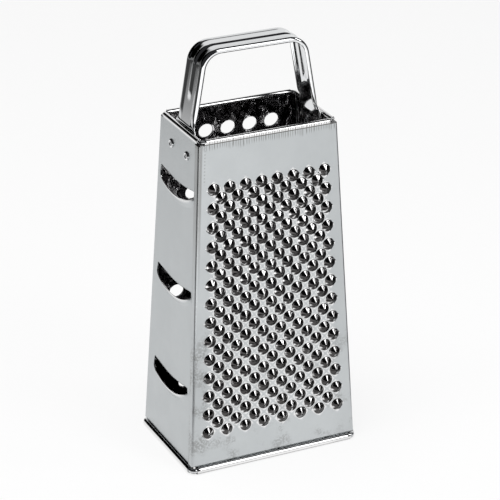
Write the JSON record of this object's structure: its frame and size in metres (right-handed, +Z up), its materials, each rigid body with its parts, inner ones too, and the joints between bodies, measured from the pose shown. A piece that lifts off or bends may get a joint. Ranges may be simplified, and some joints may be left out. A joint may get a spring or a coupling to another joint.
{
  "type": "box grater",
  "caption": "Four-sided box grater of thin bright sheet with rasp, slicing, coarse and fine sides, wired rims and a riveted strap handle.",
  "frame": {"origin": "middle of the footprint, on the surface that the bottom rim stands on", "axes": "+Z up; the wide rasp side looks along -Y and the wide coarse side along +Y; the narrow slicer side looks along -X and the narrow fine side along +X"},
  "size_m": [0.1048, 0.0714, 0.239],
  "materials": {
    "panel_sheet": "satin flats with polished teeth, blades and rims",
    "handle_sheet": "bright polished",
    "rim_wire": "drawn wire, slightly dull",
    "rivet_metal": "bright, hollow head"
  },
  "bodies": {
    "root": {"rasp_panel": "panel_sheet", "coarse_panel": "panel_sheet", "slicer_panel": "panel_sheet", "fine_panel": "panel_sheet", "handle": "handle_sheet", "base_rim_wire": "rim_wire", "top_rim_wire": "rim_wire", "left_front_rivet": "rivet_metal", "left_back_rivet": "rivet_metal", "right_front_rivet": "rivet_metal", "right_back_rivet": "rivet_metal"}
  },
  "joints": []
}
